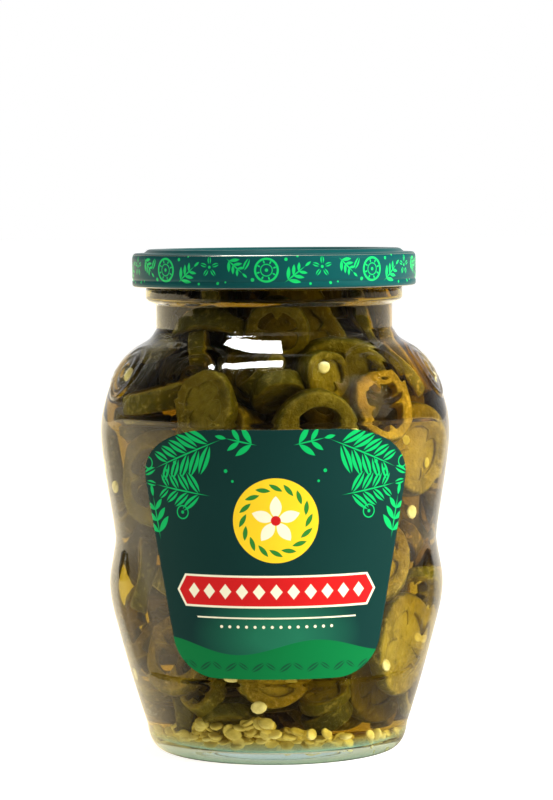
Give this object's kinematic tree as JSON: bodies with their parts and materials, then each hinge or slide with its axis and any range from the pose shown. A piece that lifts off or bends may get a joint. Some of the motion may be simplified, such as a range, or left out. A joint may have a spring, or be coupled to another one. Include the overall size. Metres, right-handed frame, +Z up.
{
  "type": "jar of pickled chilli slices",
  "caption": "Waisted glass jar with a twist-off steel lid, holding sliced pickled chilli pepper rings and loose seeds in brine behind a curved label.",
  "frame": {"origin": "on the standing plane, at the centre of the jar's round foot", "axes": "+Z up the jar's axis to the lid, -Y out of the front label, +X to the label's right as it is read"},
  "size_m": [0.1062, 0.105, 0.1519],
  "materials": {
    "clear_glass": "clear, smooth",
    "green_steel": "glossy printed lacquer",
    "sealing_compound": "soft satin",
    "label_paper": "coated, semi-gloss",
    "pickled_pepper": "wet",
    "pepper_seed": "wet",
    "brine": "clear liquid"
  },
  "bodies": {
    "jar": {"jar_glass": "clear_glass", "label": "label_paper", "brine": "brine", "seeds": "pepper_seed", "slice_01": "pickled_pepper", "slice_02": "pickled_pepper", "slice_03": "pickled_pepper", "slice_04": "pickled_pepper", "slice_05": "pickled_pepper", "slice_06": "pickled_pepper", "slice_07": "pickled_pepper", "slice_08": "pickled_pepper", "slice_09": "pickled_pepper", "slice_10": "pickled_pepper", "slice_11": "pickled_pepper", "slice_12": "pickled_pepper", "slice_13": "pickled_pepper", "slice_14": "pickled_pepper", "slice_15": "pickled_pepper", "slice_16": "pickled_pepper", "slice_17": "pickled_pepper", "slice_18": "pickled_pepper", "slice_19": "pickled_pepper", "slice_20": "pickled_pepper", "slice_21": "pickled_pepper", "slice_22": "pickled_pepper", "slice_23": "pickled_pepper", "slice_24": "pickled_pepper", "slice_25": "pickled_pepper", "slice_26": "pickled_pepper", "slice_27": "pickled_pepper", "slice_28": "pickled_pepper", "slice_29": "pickled_pepper", "slice_30": "pickled_pepper", "slice_31": "pickled_pepper", "slice_32": "pickled_pepper", "slice_33": "pickled_pepper", "slice_34": "pickled_pepper", "slice_35": "pickled_pepper", "slice_36": "pickled_pepper", "slice_37": "pickled_pepper", "slice_38": "pickled_pepper", "slice_39": "pickled_pepper", "slice_40": "pickled_pepper", "slice_41": "pickled_pepper", "slice_42": "pickled_pepper", "slice_43": "pickled_pepper", "slice_44": "pickled_pepper", "slice_45": "pickled_pepper", "slice_46": "pickled_pepper", "slice_47": "pickled_pepper", "slice_48": "pickled_pepper", "slice_49": "pickled_pepper", "slice_50": "pickled_pepper", "slice_51": "pickled_pepper", "slice_52": "pickled_pepper", "slice_53": "pickled_pepper"},
    "seal": {"lid_liner": "sealing_compound"},
    "lid": {"lid": "green_steel"}
  },
  "joints": [
    {"name": "lid_rise", "type": "slide", "parent": "jar", "child": "seal", "axis": [0, 0, 1], "range_m": [0, 0.0015]},
    {"name": "lid_turn", "type": "hinge", "parent": "seal", "child": "lid", "pos_m": [0, 0, 0.146], "axis": [0, 0, 1], "range_deg": [0, 42]}
  ],
  "couplings": [
    {"joint": "lid_rise", "follows": "lid_turn", "m_per_rad": 0.0019099}
  ]
}
